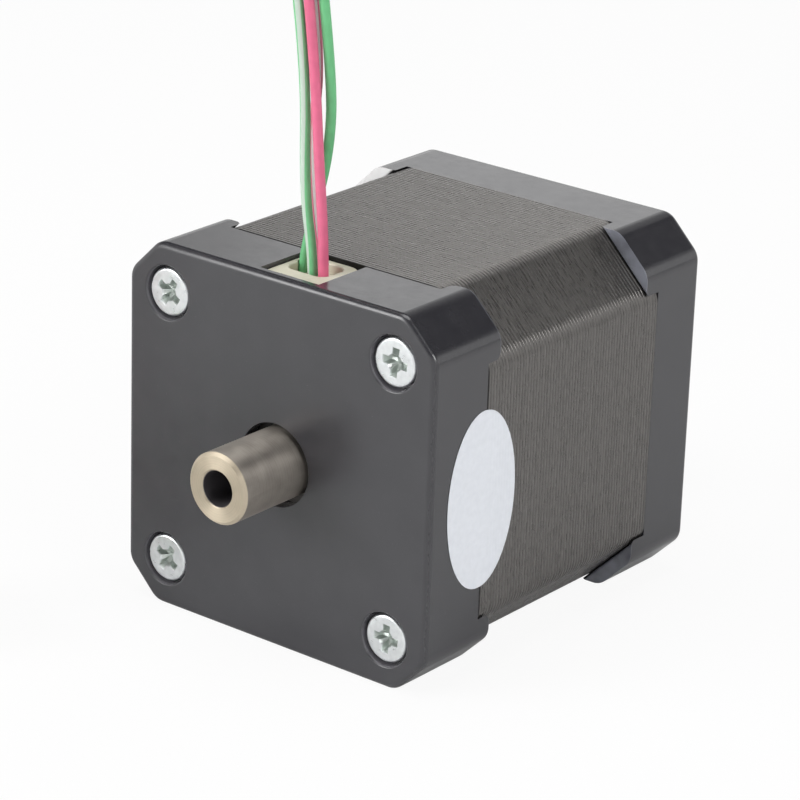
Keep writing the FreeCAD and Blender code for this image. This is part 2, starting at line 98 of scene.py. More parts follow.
# Coil of the spare length, with each lead's radial and upward place in the bundle as signs
coil_centre = np.array([-33.0 * mm, rear_face - 25.0 * mm])
coil_radius = 8.0 * mm
coil_entry = math.radians(122.64)
coil_turns = 2.4
coil_exit = coil_entry + full_turn * coil_turns
coil_forward = np.array([-math.sin(coil_exit), math.cos(coil_exit), 0])
coil_exit_run = 1.5 * mm
coil_pitch = 2.95 * mm
coil_start_height = 8.28 * mm
coil_points_per_turn = 12
bundle_step = 0.65 * mm
bundle_spread = bundle_step * math.sqrt(2)
bundle_places = {"green_white": (-1, -1), "pink": (1, -1), "pink_white": (1, 1), "green": (-1, 1)}

# Stacked sheets of the stator, with the profile over one sheet: places along its pitch, and heights as shares
# of the edge's height
sheet_pitch = 0.5 * mm
sheet_gap_place = 0.04
sheet_edge_height = 0.05 * mm
sheet_lowest_share = 0.85
sheet_profile_places = np.array([sheet_gap_place, 0.14, 0.30, 0.78, 0.92])
sheet_profile_heights = np.array([-0.30, 0.55, 1.00, 1.00, 0.45])
sheet_seed = 4
sheet_skin = 0.2 * mm
stack_corner_cut = 6.6 * mm
stack_corner_round = 3.0 * mm
outline_points_per_corner = 12

# Tie screws and the tapped holes of the mounting face
screw_spacing = 31.0 * mm
screw_head_radius = 2.7 * mm
screw_head_height = 1.9 * mm
screw_edge_round = 0.35 * mm
screw_top_inner = 0.03 * mm
screw_top_outer = 1.8 * mm
screw_top_rings = 52
screw_edge_rings = 7
screw_columns = 128
screw_hole_radius = 3.4 * mm
screw_shank_radius = 1.5 * mm
screw_turns = {(-1, -1): 58.0, (-1, 1): 58.0, (1, -1): -3.0, (1, 1): -5.0}
recess_reach = 1.62 * mm
recess_slot_half = 0.43 * mm
recess_floor = 1.0 * mm
recess_middle = 1.35 * mm
recess_flare_radius = 1.0 * mm
recess_end_slope = 2.2
recess_wall_slope = 5.0
recess_flare_slope = 1.7
thread_pitch = 0.5 * mm
thread_depth = 0.27 * mm
thread_length = 5.0 * mm
thread_gap = 0.02 * mm
thread_row = thread_pitch / 8
thread_columns = 32
tapped_radius = 1.25 * mm
tapped_crest = 0.1 * mm
tapped_depth = 4.0 * mm
tapped_chamfer = 0.3 * mm
tapped_columns = 40

# Hollow shaft
shaft_radius = 4.0 * mm
shaft_bore_radius = 2.0 * mm
shaft_chamfer = 0.35 * mm

# Oval label on the side, with its rings' sizes as shares of the whole, and levels as shares of its thickness
label_y = rear_face + 8.6 * mm
label_z = -0.62 * mm
label_half_length = 5.7 * mm
label_half_height = 10.03 * mm
label_lift = 0.07 * mm
label_thickness = 0.09 * mm
label_gap_share = 0.1
label_bend = 0.15 * mm
label_columns = 160
label_face_rings = 24
label_face_sizes = (0.02, 0.985)
label_rim_sizes = (0.996, 1.0, 0.996)
label_rim_levels = (0.85, 0.45, 0.1)
label_back_rings = 12
label_back_sizes = (0.98, 0.02)

# Tie round the coil and the bare ends of the leads
tie_angle = math.radians(20.0)
tie_width = 3.0 * mm
tie_thickness = 0.4 * mm
tie_power = 1 / 3
tie_loop_points = 72
tie_section_points = 20
bare_radius = 0.25 * mm
bare_strands = 7
bare_lobe = 0.1
bare_twist = 1.5
bare_overlap = 0.05
bare_taper = 0.02
bare_tip_area = 0.25
bare_rows = 40
bare_columns = 56

# Finishes: the usual range of a noise, where the corner whose ear tips take a painted highlight starts, by
# height less x, and the distance between turns of the windings
noise_low = 0.3
noise_high = 0.7
highlit_corner_start = 24 * mm
highlit_corner_end = 26 * mm
wire_pitch = 0.32 * mm

# Floor: how much white is added to what the camera and what reflections see of it
floor_reach = 4.0
floor_grey = 0.86
floor_glow_seen = 0.92
floor_glow_near = 0.03
floor_glow_far = 0.3
floor_near = 35 * mm
floor_far = 80 * mm

# Room: levels over the upward part of a direction, and what is added to that part between two values of x
wall_levels = [(0.0, 1.0), (0.32, 1.0), (0.46, 0.06)]
wall_left = -0.69
wall_right = -0.585
wall_left_shift = 0.085
wall_right_shift = -0.03

# Lamps: place, size and power
lamp_target = Vector((0, -0.02, 0))
lamps = {
    "overhead": ((-0.05, -0.05, 0.55), 0.4, 1.6),
    "front": ((-0.35, -0.5, 0.25), 0.35, 2.6),
    "right": ((0.43, -0.08, 0.33), 0.2, 0.85),
    "back": ((-0.18, 0.45, 0.22), 0.4, 0.17),
}


def new_object(name, data):
    """A new object in the scene."""
    made = bpy.data.objects.new(name, data)
    bpy.context.scene.collection.objects.link(made)
    return made


def turn_angles(count):
    """Angles evenly spaced over one turn."""
    return np.linspace(0, full_turn, count, endpoint=False)


def camera():
    """Camera on a line of sight given by azimuth and elevation, then rolled about that line."""
    back = Vector((
        math.sin(camera_azimuth) * math.cos(camera_elevation),
        -math.cos(camera_azimuth) * math.cos(camera_elevation),
        math.sin(camera_elevation),
    ))
    level = Vector((math.cos(camera_azimuth), math.sin(camera_azimuth), 0))
    upright = back.cross(level)
    right = level * math.cos(camera_roll) + upright * math.sin(camera_roll)
    up = upright * math.cos(camera_roll) - level * math.sin(camera_roll)
    data = bpy.data.cameras.new("camera")
    data.sensor_width = camera_sensor
    data.lens = camera_lens
    data.clip_start = 1 * mm
    made = new_object("camera", data)
    made.matrix_world = Matrix.Translation(camera_place) @ Matrix((right, up, back)).transposed().to_4x4()
    bpy.context.scene.camera = made


def coil_run(name):
    """Points of a lead's turns in the coil, and of the straight end after them.

    The bundle's middle goes round a circle and sinks by the pitch each turn, while the lead goes once
    round the bundle's middle the other way. The points lie outside the circle by one over the cosine of
    half a step, so that the spline through them keeps the circle's radius.
    """
    side, rise = bundle_places[name]
    turns = np.arange(1, int(coil_turns * coil_points_per_turn) + 1) / coil_points_per_turn
    angle = coil_entry + full_turn * turns
    twist = math.atan2(rise, side) - full_turn * turns / coil_turns
    radius = (coil_radius + bundle_spread * np.cos(twist)) / math.cos(math.pi / coil_points_per_turn)
    height = floor_z + coil_start_height - coil_pitch * turns + bundle_spread * np.sin(twist)
    x, y = coil_centre[0] + radius * np.cos(angle), coil_centre[1] + radius * np.sin(angle)
    column = coil_radius + side * bundle_step
    leave = np.array([
        coil_centre[0] + column * math.cos(coil_exit), coil_centre[1] + column * math.sin(coil_exit),
        floor_z + coil_start_height - coil_pitch * coil_turns + rise * bundle_step,
    ])
    tail = (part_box("bare_end_" + name)[0].x - leave[0]) / coil_forward[0]
    straight = [leave + coil_forward * run for run in (coil_exit_run, tail)]
    return np.vstack([np.stack([x, y, height], axis=1), *straight])


def lead(name, finish):
    """One lead: a round section carried along the spline of its route and its turns in the coil."""
    route = np.array(lead_routes[name]) * mm + np.array([0, rear_face, floor_z])
    start = np.array([route[0, 0], route[0, 1], guide_low.z])
    points = np.vstack([start, route, coil_run(name)])
    data = bpy.data.curves.new("lead_" + name + "_line", "CURVE")
    data.dimensions = "3D"
    data.resolution_u = lead_steps
    data.bevel_depth = 1.0
    data.bevel_resolution = lead_section_steps
    data.use_fill_caps = True
    spline = data.splines.new("NURBS")
    spline.points.add(len(points) - 1)
    spline.points.foreach_set("co", np.column_stack([points, np.ones(len(points))]).ravel())
    spline.points.foreach_set("radius", np.full(len(points), lead_radius))
    spline.order_u = 3
    spline.use_endpoint_u = True
    data.materials.append(finish)
    made = new_object("insulated_lead_" + name, data)
    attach(made, "stator")
    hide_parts("lead_" + name, "lead_coil")


def grid_faces(rows, columns, wrap_rows, first):
    """Quads between neighbours of a grid of points whose columns always close on themselves."""
    row = np.arange(rows if wrap_rows else rows - 1)[:, None]
    column = np.arange(columns)[None, :]
    below = (row + 1) % rows
    beside = (column + 1) % columns
    here, under = row * columns, below * columns
    corners = [here + column, here + beside, under + beside, under + column]
    return np.stack(corners, axis=-1).reshape(-1, 4) + first


def piece(name, grids, body, finish, crease=40.0):
    """Closed mesh from grids of shape (rows, columns, 3).

    The columns of a grid close on themselves. Its rows do too where the second entry of the pair is true,
    and otherwise a fan of triangles to the middle of the row closes each end.
    """
    points, faces, count = [], [], 0
    for grid, wrap_rows in grids:
        rows, columns = grid.shape[:2]
        points.append(grid.reshape(-1, 3))
        faces += grid_faces(rows, columns, wrap_rows, count).tolist()
        total = rows * columns
        if not wrap_rows:
            points.append(np.stack([grid[0].mean(axis=0), grid[-1].mean(axis=0)]))
            ring = np.arange(columns)
            after = (ring + 1) % columns
            base = (rows - 1) * columns
            start = np.stack([np.full(columns, total), after, ring], axis=1) + count
            end = np.stack([np.full(columns, total + 1), base + ring, base + after], axis=1) + count
            faces += start.tolist() + end.tolist()
            total += 2
        count += total
    mesh = bpy.data.meshes.new(name)
    mesh.from_pydata(np.vstack(points), [], faces)
    shell = bmesh.new()
    shell.from_mesh(mesh)
    bmesh.ops.recalc_face_normals(shell, faces=shell.faces)
    shell.to_mesh(mesh)
    shell.free()
    mesh.shade_smooth()
    mesh.set_sharp_from_angle(angle=math.radians(crease))
    mesh.materials.append(finish)
    made = new_object(name, mesh)
    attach(made, body)
    return made


def cut_corner_outline():
    """Rounded corners of the stack's outline: the middles of the arcs and the directions out of them.

    The eight sides face directions 45 degrees apart. The middle of the arc between two sides is the point
    that lies one rounding radius inside both of them.
    """
    sides = 8
    side = np.arange(sides)
    step = full_turn / sides
    flat = half_width - stack_corner_round
    cut = (2 * half_width - stack_corner_cut) / math.sqrt(2) - stack_corner_round
    reach = np.where(side % 2 == 0, flat, cut)
    facing = side * step
    along = (np.roll(reach, -1) - reach * math.cos(step)) / math.sin(step)
    x = reach * np.cos(facing) - along * np.sin(facing)
    z = reach * np.sin(facing) + along * np.cos(facing)
    angle = facing[:, None] + np.linspace(0, step, outline_points_per_corner)
    middles = np.repeat(np.stack([x, z], axis=1), outline_points_per_corner, axis=0)
    return middles, np.stack([np.cos(angle), np.sin(angle)], axis=-1).reshape(-1, 2)


def sheet_edges(finish):
    """Edges of the stacked sheets, as a thin skin over the stack.

    The stack's outline is carried along the shaft. It stands out by a slightly different height over each
    sheet, draws in between two sheets, and comes back inside the stack to close the skin.
    """
    count = round((stack_high.y - stack_low.y) / sheet_pitch)
    heights = sheet_edge_height * np.random.default_rng(sheet_seed).uniform(sheet_lowest_share, 1.0, count)
    y = (stack_low.y + sheet_pitch * (np.arange(count)[:, None] + sheet_profile_places)).ravel()
    grow = (heights[:, None] * sheet_profile_heights).ravel()
    y = np.concatenate([y, [y[-1], y[0]]])
    grow = np.concatenate([grow, [-sheet_skin, -sheet_skin]])
    middles, outward = cut_corner_outline()
    outline = middles + outward * (stack_corner_round + grow[:, None, None])
    rows = np.broadcast_to(y[:, None], outline.shape[:2])
    grid = np.stack([outline[..., 0], rows, outline[..., 1]], axis=-1)
    made = piece("sheet_edges", [(grid, True)], "stator", finish, crease=60.0)


def recess_depth(radius, angle):
    """Depth of a cross recess: the deepest of two crossing slots and a round flare.

    A slot's floor falls steeply from its ends to a level, and its walls lean a little. The flare is a
    cone with a flat bottom.
    """
    def slot(along, across):
        floor = np.clip((recess_reach - abs(along)) * recess_end_slope, 0, recess_floor)
        wall = np.clip((recess_slot_half - abs(across)) * recess_wall_slope, 0, None)
        return np.minimum(floor, wall)

    along, across = radius * np.cos(angle), radius * np.sin(angle)
    flare = np.clip((recess_flare_radius - radius) * recess_flare_slope, 0, recess_middle)
    return np.maximum(np.maximum(slot(along, across), slot(across, along)), flare)


def around_y(radius, angle, y, x, z):
    """Points at a radius and angle about a line along the shaft's direction through (x, z)."""
    radius, angle, y = np.broadcast_arrays(radius, angle, y)
    return np.stack([x + radius * np.cos(angle), y, z + radius * np.sin(angle)], axis=-1)


def thread_wave(y, turn):
    """Triangle wave along a helix: of the distance along it less the part of a turn."""
    return abs(2 * ((y / thread_pitch - turn / full_turn) % 1) - 1)


def screw_grids(sign_x, sign_z):
    """Head and shank of a tie screw, and its thread.

    Rings go out from the middle of the head over its recess, round its edge, in under the head and along
    the shank.
    """
    x, z = sign_x * screw_spacing / 2, sign_z * screw_spacing / 2
    face = screw_low.y
    tip = screw_high.y
    angle = turn_angles(screw_columns)
    turned = angle - math.radians(screw_turns[sign_x, sign_z])
    top = np.linspace(screw_top_inner, screw_top_outer, screw_top_rings)[:, None]
    edge = np.linspace(0, math.pi / 2, screw_edge_rings)[:, None]
    edge_radius = screw_head_radius - screw_edge_round * (1 - np.sin(edge))
    edge_y = face + screw_edge_round * (1 - np.cos(edge))
    under = face + screw_head_height
    shank_end = tip - thread_length
    rings = [
        around_y(top, angle, face + recess_depth(top, turned), x, z),
        around_y(edge_radius, angle, edge_y, x, z),
        around_y(np.array([[screw_head_radius], [screw_shank_radius]]), angle, under, x, z),
        around_y(screw_shank_radius, angle, np.array([[shank_end]]), x, z),
    ]
    turn = turn_angles(thread_columns)
    y = np.arange(shank_end, tip, thread_row)[:, None]
    radius = screw_shank_radius - thread_gap - thread_depth * thread_wave(y, turn)
    thread = around_y(radius, turn, y, x, z)
    return [(np.concatenate(rings), False), (thread, False)]


def tie_screws(finish):
    """The four tie screws, with a cross recess in each head."""
    grids = [grid for corner in screw_turns for grid in screw_grids(*corner)]
    made = piece("recessed_tie_screws", grids, "stator", finish, crease=32.0)
    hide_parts("tie_screws")


def mount_threads(finish):
    """Thread in each tapped hole of the mounting face.

    A sleeve inside the hole's wall: its inner radius is a triangle wave along a helix, and it comes back
    inside the metal.
    """
    turn = turn_angles(tapped_columns)
    y = np.arange(-tapped_depth, -tapped_chamfer, thread_row)[:, None]
    radius = tapped_radius + thread_gap - tapped_crest * thread_wave(y, turn)
    outer_y = np.array([[-tapped_chamfer], [-tapped_depth]])
    grids = []
    for sign_x, sign_z in screw_turns:
        x, z = sign_x * screw_spacing / 2, sign_z * screw_spacing / 2
        inner = around_y(radius, turn, y, x, z)
        outer = around_y(tapped_radius + tapped_crest, turn, outer_y, x, z)
        grids.append((np.concatenate([inner, outer]), True))
    made = piece("mount_hole_threads", grids, "stator", finish)


def label(finish):
    """Bare oval label across the seam between the rear cap and the stack.

    Ellipses grow from the middle to the rim, round over the rim and shrink again underneath. The paper
    lifts a little where it passes from the cap on to the sheets.
    """
    angle = turn_angles(label_columns)
    face = np.linspace(*label_face_sizes, label_face_rings)
    back = np.linspace(*label_back_sizes, label_back_rings)
    share = np.concatenate([face, label_rim_sizes, back])
    level = np.concatenate([np.ones(label_face_rings), label_rim_levels, np.zeros(label_back_rings)])
    y = label_y + label_half_length * share[:, None] * np.cos(angle)
    z = label_z + label_half_height * share[:, None] * np.sin(angle)
    on_sheets = 1 / (1 + np.exp(-(y - stack_low.y) / label_bend))
    x = half_width + label_lift * on_sheets + label_thickness * (label_gap_share + level[:, None])
    piece("oval_label", [(np.stack([x, y, z], axis=-1), False)], "stator", finish)


def squared(wave):
    """A sine or cosine drawn out towards its ends, as round a superellipse."""
    return np.sign(wave) * abs(wave) ** tie_power


def tie(finish):
    """Plastic tie round the coil: a flat section carried round a rounded loop.

    The loop is a superellipse in the upright plane through the coil's middle, just outside the turns.
    """
    low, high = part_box("lead_tie")
    half_height = (high.z - low.z) / 2
    half_reach = bundle_spread + lead_radius + tie_thickness
    loop = turn_angles(tie_loop_points)[:, None]
    section = turn_angles(tie_section_points)
    wide = squared(np.cos(section)) * tie_width / 2
    thick = (squared(np.sin(section)) - 1) * tie_thickness / 2
    radial = coil_radius + (half_reach + thick) * squared(np.cos(loop))
    up = (high.z + low.z) / 2 + (half_height + thick) * squared(np.sin(loop))
    side = np.broadcast_to(wide, radial.shape)
    outward = np.array([math.cos(tie_angle), math.sin(tie_angle)])
    along = np.array([-math.sin(tie_angle), math.cos(tie_angle)])
    x = coil_centre[0] + radial * outward[0] + side * along[0]
    y = coil_centre[1] + radial * outward[1] + side * along[1]
    made = piece("coil_tie", [(np.stack([x, y, up], axis=-1), True)], "stator", finish)
    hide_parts("lead_tie")


def bare_end(name, finish):
    """Tinned end of a lead: a round section with a lobe for each strand, twisted along a straight line.

    It starts a little way inside the insulation and is rounded off at its tip.
    """
    low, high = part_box("bare_end_" + name)
    aside = np.array([-coil_forward[1], coil_forward[0], 0])
    middle = (np.array(low) + np.array(high)) / 2
    length = (high.x - low.x) / coil_forward[0]
    along = np.linspace(-0.5 - bare_overlap, 0.5, bare_rows)[:, None]
    angle = turn_angles(bare_columns)
    end = np.clip((0.5 - along) / bare_taper, bare_tip_area, 1) ** 0.5
    radius = bare_radius * end * (1 + bare_lobe * np.cos(bare_strands * angle))
    around = angle + full_turn * bare_twist * along
    grid = middle + (along * length)[..., None] * coil_forward
    grid = grid + (radius * np.cos(around))[..., None] * aside
    grid = grid + (radius * np.sin(around))[..., None] * np.array([0, 0, 1])
    made = piece("tinned_end_" + name, [(grid, False)], "stator", finish)
    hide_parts("bare_end_" + name)


class Finish:
    """A procedural material: a principled shader and short ways to add nodes to it."""

    def __init__(self, name, roughness=0.5, metallic=0.0):
        self.material = bpy.data.materials.new(name)
        self.material.use_nodes = True
        self.tree = self.material.node_tree
        self.shader = self.tree.nodes["Principled BSDF"]
        self.shader.inputs["Roughness"].default_value = roughness
        self.shader.inputs["Metallic"].default_value = metallic
        self.place = self.node("TexCoord").outputs["Object"]

    def node(self, kind, inputs=(), **settings):
        """A new node with some settings, its inputs given in order as values or as other nodes' outputs."""
        made = self.tree.nodes.new("ShaderNode" + kind)
        for key, value in settings.items():
            setattr(made, key, value)
        for socket, value in zip(made.inputs, inputs):
            self.feed(socket, value)
        return made

    def feed(self, socket, value):
        """Gives a socket another node's output or a plain value."""
        if isinstance(value, bpy.types.NodeSocket):
            self.tree.links.new(value, socket)
        elif value is not None:
            socket.default_value = value

    def set(self, **values):
        """Sets sockets of the shader, with _ in a name for a space."""
        for key, value in values.items():
            self.feed(self.shader.inputs[key.replace("_", " ")], value)

    def math(self, operation, *values, clamp=False):
        """The result of one operation."""
        return self.node("Math", values, operation=operation, use_clamp=clamp).outputs[0]

    def axes(self, vector=None):
        """The three parts of a vector, by default the place on the piece."""
        return self.node("SeparateXYZ", [vector or self.place]).outputs

    def length(self, x, y, z):
        """Length of a vector with three parts."""
        vector = self.node("CombineXYZ", [x, y, z]).outputs[0]
        return self.node("VectorMath", [vector], operation="LENGTH").outputs["Value"]

    def radius(self):
        """Distance from the shaft's axis."""
        x, _, z = self.axes()
        return self.length(x, 0.0, z)

    def screw_radius(self):
        """Distance from the axis of the nearest tie screw."""
        x, _, z = self.axes()
        across = self.math("SUBTRACT", self.math("ABSOLUTE", x), screw_spacing / 2)
        up = self.math("SUBTRACT", self.math("ABSOLUTE", z), screw_spacing / 2)
        return self.length(across, 0.0, up)

    def off_whole(self, value):
        """Distance of a value from the nearest whole number."""
        part = self.math("FRACT", self.math("ADD", value, 0.5))
        return self.math("ABSOLUTE", self.math("SUBTRACT", part, 0.5))

    def weighted(self, share, first, second):
        """Mean of two values, with the first one's share."""
        rest = self.math("MULTIPLY", second, 1 - share)
        return self.math("ADD", self.math("MULTIPLY", first, share), rest)

    def noise(self, grain, detail=2.0, stretch=(1, 1, 1)):
        """Soft noise with lumps about one grain across, pulled out along an axis with a small stretch."""
        where = self.node("Mapping", [self.place, None, None, tuple(share / grain for share in stretch)])
        made = self.node("TexNoise", [where.outputs[0], None, 1.0, detail])
        return made.outputs[0]

    def lines(self, distance, pitch):
        """Uneven lines across a distance, about one pitch apart."""
        made = self.node("TexNoise", noise_dimensions="1D")
        self.feed(made.inputs["W"], self.math("DIVIDE", distance, pitch))
        self.feed(made.inputs["Scale"], 1.0)
        return made.outputs[0]

    def shades(self, value, *stops):
        """Colour at a value, between stops of (value, colour)."""
        ramp = self.node("ValToRGB", [value])
        for _ in stops[2:]:
            ramp.color_ramp.elements.new(1.0)
        for element, (position, colour) in zip(ramp.color_ramp.elements, stops):
            element.position = position
            element.color = (*colour, 1)
        return ramp.outputs[0]

    def between(self, value, low, high, start, end):
        """A value carried from the range of start and end to that of low and high, and held there."""
        return self.node("MapRange", [value, start, end, low, high], clamp=True).outputs[0]

    def clouded(self, noise, low, high):
        """A value that goes from low to high over the usual range of a noise."""
        return self.between(noise, low, high, noise_low, noise_high)

    def tinted(self, noise, dark, light):
        """Colour that goes from dark to light over the usual range of a noise."""
        return self.shades(noise, (noise_low, dark), (noise_high, light))

    def mixed(self, share, first, second):
        """Colour between two colours."""
        made = self.node("Mix", data_type="RGBA")
        self.feed(made.inputs["Factor"], share)
        for socket, value in zip((made.inputs[6], made.inputs[7]), (first, second)):
            self.feed(socket, value if isinstance(value, bpy.types.NodeSocket) else (*value, 1))
        return made.outputs[2]

    def bumped(self, height, depth):
        """Raises and lowers the surface by a height, up to a depth in metres."""
        made = self.node("Bump")
        self.feed(made.inputs["Distance"], depth)
        self.feed(made.inputs["Height"], height)
        self.set(Normal=made.outputs[0])


def painted_casting(name, ear_tip):
    """Dark semi-gloss paint on a casting: soft orange peel, faint mottling and lighter ear tips.

    The paint is duller on the rear face, most of all on the face's left, than on the sides. Light is painted
    into the shaded screw holes, and a painted highlight whitens one corner's ear tips.
    """
    made = Finish(name)
    x, y, z = made.axes()
    mottle = made.noise(4 * mm, 4.0)
    colour = made.tinted(mottle, (0.025, 0.0245, 0.0295), (0.031, 0.0305, 0.0355))
    speck = made.between(made.noise(0.16 * mm, 1.0), 0, 1, 0.74, 0.80)
    colour = made.mixed(speck, colour, (0.07, 0.07, 0.075))
    # Ear tips are lighter; on one corner they take a near-white painted highlight, for light off their
    # rounded ends
    off_tip = made.math("ABSOLUTE", made.math("SUBTRACT", y, ear_tip))
    lightened = made.between(off_tip, 1, 0, 0.02 * mm, 0.10 * mm)
    lightened = made.math("MULTIPLY", lightened, made.between(mottle, 0.4, 1, 0.3, 0.6))
    highlit_corner = made.between(made.math("SUBTRACT", z, x), 0, 1, highlit_corner_start, highlit_corner_end)
    colour = made.mixed(lightened, colour, made.mixed(highlit_corner, (0.25, 0.26, 0.30), (0.80, 0.80, 0.80)))
    # Painted light: the counterbore walls are lightened where they lie in shade
    painted_light_depth = made.between(y, 0, 1, rear_face + 0.05 * mm, rear_face + 0.2 * mm)
    painted_light_depth = made.math("MULTIPLY", painted_light_depth, made.between(y, 1, 0, rear_face + 3 * mm, rear_face + 4 * mm))
    near_screw = made.between(made.screw_radius(), 1, 0, screw_hole_radius, screw_hole_radius + 0.1 * mm)
    colour = made.mixed(made.math("MULTIPLY", painted_light_depth, near_screw), colour, (0.16, 0.155, 0.17))
    peel = made.clouded(made.noise(1.2 * mm), -0.03, 0.03)
    face_dull = made.between(x, 0.42, 0.305, -9 * mm, 0)
    dull = made.between(y, face_dull, 0.2, rear_face + 0.1 * mm, rear_face + 0.6 * mm)
    made.set(Base_Color=colour, Roughness=made.math("ADD", dull, peel), IOR=1.68)
    made.bumped(made.noise(0.55 * mm, 3.0), 0.004 * mm)
    return made.material


def sheet_steel():
    """Varnished edges of stacked sheets: fine streaks along each sheet, dark gaps and a few bare spots.

    The top is painted a little brighter as a sheen, and a painted shadow line shows where the stack meets
    each casting.
    """
    made = Finish("sheet_steel", metallic=0.8)
    y, z = made.axes()[1:]
    sheet = made.math("DIVIDE", made.math("SUBTRACT", y, stack_low.y), sheet_pitch)
    own = made.node("TexWhiteNoise", noise_dimensions="1D")
    made.feed(own.inputs["W"], made.math("FLOOR", sheet))
    streak = made.noise(1.2 * mm, 4.0, stretch=(1, 5, 1))
    colour = made.shades(
        made.weighted(0.1, own.outputs[0], streak),
        (0.25, (0.120, 0.115, 0.109)), (0.5, (0.149, 0.142, 0.136)), (0.75, (0.182, 0.173, 0.165)),
    )
    # Painted sheen: the top is lightened as if lit from above
    lightened = made.between(z, 0, 0.5, stack_high.z - 0.15 * mm, stack_high.z)
    colour = made.mixed(lightened, colour, (0.32, 0.305, 0.292))
    spot = made.between(made.noise(0.2 * mm, 1.0), 0, 1, 0.75, 0.82)
    colour = made.mixed(spot, colour, (0.26, 0.25, 0.235))
    off_gap = made.off_whole(made.math("SUBTRACT", sheet, sheet_gap_place))
    colour = made.mixed(made.between(off_gap, 0.45, 0, 0.04, 0.11), colour, (0.022, 0.021, 0.020))
    # Painted shadow in the seams where the stack meets each casting
    from_rear = made.math("SUBTRACT", y, stack_low.y)
    from_end = made.math("MINIMUM", from_rear, made.math("SUBTRACT", stack_high.y, y))
    colour = made.mixed(made.between(from_end, 0.9, 0, 0.12 * mm, 0.24 * mm), colour, (0.012, 0.012, 0.012))
    made.set(Base_Color=colour, Roughness=made.clouded(streak, 0.24, 0.34))
    made.bumped(made.noise(0.25 * mm, 3.0, stretch=(1, 2, 1)), 0.008 * mm)
    return made.material


def turned_metal(name, dark, light, roughness, pitch, depth):
    """Metal with fine tool lines round the shaft's axis, on its sides and on its end faces alike."""
    made = Finish(name, metallic=1.0)
    line = made.lines(made.math("ADD", made.radius(), made.axes()[1]), pitch)
    value = made.weighted(0.6, line, made.noise(2.5 * mm, 3.0))
    made.set(Base_Color=made.tinted(value, dark, light))
    made.set(Roughness=made.clouded(value, roughness - 0.06, roughness + 0.08))
    made.bumped(line, depth)
    return made.material


def ground_shaft():
    """Ground steel with brighter turned ends, oily journals and painted shade down the bore.

    Highlights spread across the tool lines, which run round the axis.
    """
    made = Finish("shaft_steel", metallic=1.0)
    y, radius = made.axes()[1], made.radius()
    line = made.lines(made.math("ADD", radius, y), 0.12 * mm)
    value = made.weighted(0.5, line, made.noise(1.5 * mm, 4.0))
    side = made.tinted(value, (0.345, 0.315, 0.28), (0.48, 0.44, 0.395))
    face = made.tinted(value, (0.48, 0.42, 0.325), (0.62, 0.54, 0.42))
    from_rear = made.math("SUBTRACT", y, shaft_low.y)
    from_end = made.math("MINIMUM", from_rear, made.math("SUBTRACT", shaft_high.y, y))
    at_end = made.between(from_end, 1, 0, shaft_chamfer, shaft_chamfer + 0.05 * mm)
    on_journal = made.between(radius, 0, 1, shaft_radius + 0.02 * mm, shaft_radius + 0.1 * mm)
    # Painted shade: the bore is darkened, as shade down a hole
    in_bore = made.between(radius, 1, 0, shaft_bore_radius + 0.01 * mm, shaft_bore_radius + 0.06 * mm)
    colour = made.mixed(on_journal, made.mixed(at_end, side, face), (0.10, 0.095, 0.09))
    colour = made.mixed(in_bore, colour, (0.15, 0.14, 0.15))
    around = made.node("Tangent", direction_type="RADIAL", axis="Y").outputs[0]
    made.set(Base_Color=colour, Roughness=made.clouded(value, 0.44, 0.56))
    made.set(Anisotropic=0.6, Anisotropic_Rotation=0.25, Tangent=around)
    made.bumped(line, 0.002 * mm)
    return made.material


def plated_metal(name, dark, light, roughness):
    """Plated or polished metal with a faint cloudy film."""
    made = Finish(name, metallic=1.0)
    cloud = made.noise(0.8 * mm, 4.0)
    made.set(Base_Color=made.tinted(cloud, dark, light))
    made.set(Roughness=made.clouded(cloud, roughness - 0.05, roughness + 0.07))
    made.bumped(made.noise(0.12 * mm, 2.0), 0.002 * mm)
    return made.material


def screw_plating():
    """Zinc plate with a faint cloudy film, greyer down in the cross recess with painted shade."""
    made = Finish("zinc_plate", metallic=1.0)
    cloud = made.noise(0.8 * mm, 4.0)
    colour = made.tinted(cloud, (0.71, 0.735, 0.74), (0.83, 0.855, 0.86))
    # Painted shade down in the cross recess
    painted_light_depth = made.between(made.axes()[1], 0, 1, screw_low.y + 0.02 * mm, screw_low.y + 0.25 * mm)
    within = made.between(made.screw_radius(), 1, 0, screw_top_outer - 0.1 * mm, screw_top_outer)
    colour = made.mixed(made.math("MULTIPLY", painted_light_depth, within), colour, (0.60, 0.635, 0.61))
    made.set(Base_Color=colour, Roughness=made.clouded(cloud, 0.26, 0.38))
    made.bumped(made.noise(0.12 * mm, 2.0), 0.002 * mm)
    return made.material


def moulded_plastic(name, dark, light, roughness):
    """Moulded plastic: small clouds in its colour and a fine matte grain."""
    made = Finish(name)
    made.set(Base_Color=made.tinted(made.noise(1.5 * mm, 3.0), dark, light))
    made.set(Roughness=made.clouded(made.noise(0.5 * mm), roughness - 0.06, roughness + 0.06))
    made.bumped(made.noise(0.2 * mm, 2.0), 0.006 * mm)
    return made.material


def wound_wire(name):
    """Enamelled copper wire, wound side by side in turns out from the shaft, with painted shade between
    turns.
    """
    made = Finish(name, roughness=0.3, metallic=0.8)
    wave = made.math("SINE", made.math("MULTIPLY", made.radius(), full_turn / wire_pitch))
    # Painted shade: the colour darkens with the bump's valleys between the turns
    value = made.math("ADD", made.math("MULTIPLY", wave, 0.25), made.noise(0.6 * mm))
    made.set(Base_Color=made.shades(value, (0.25, (0.20, 0.055, 0.018)), (0.75, (0.55, 0.20, 0.07))))
    made.bumped(wave, 0.05 * mm)
    return made.material


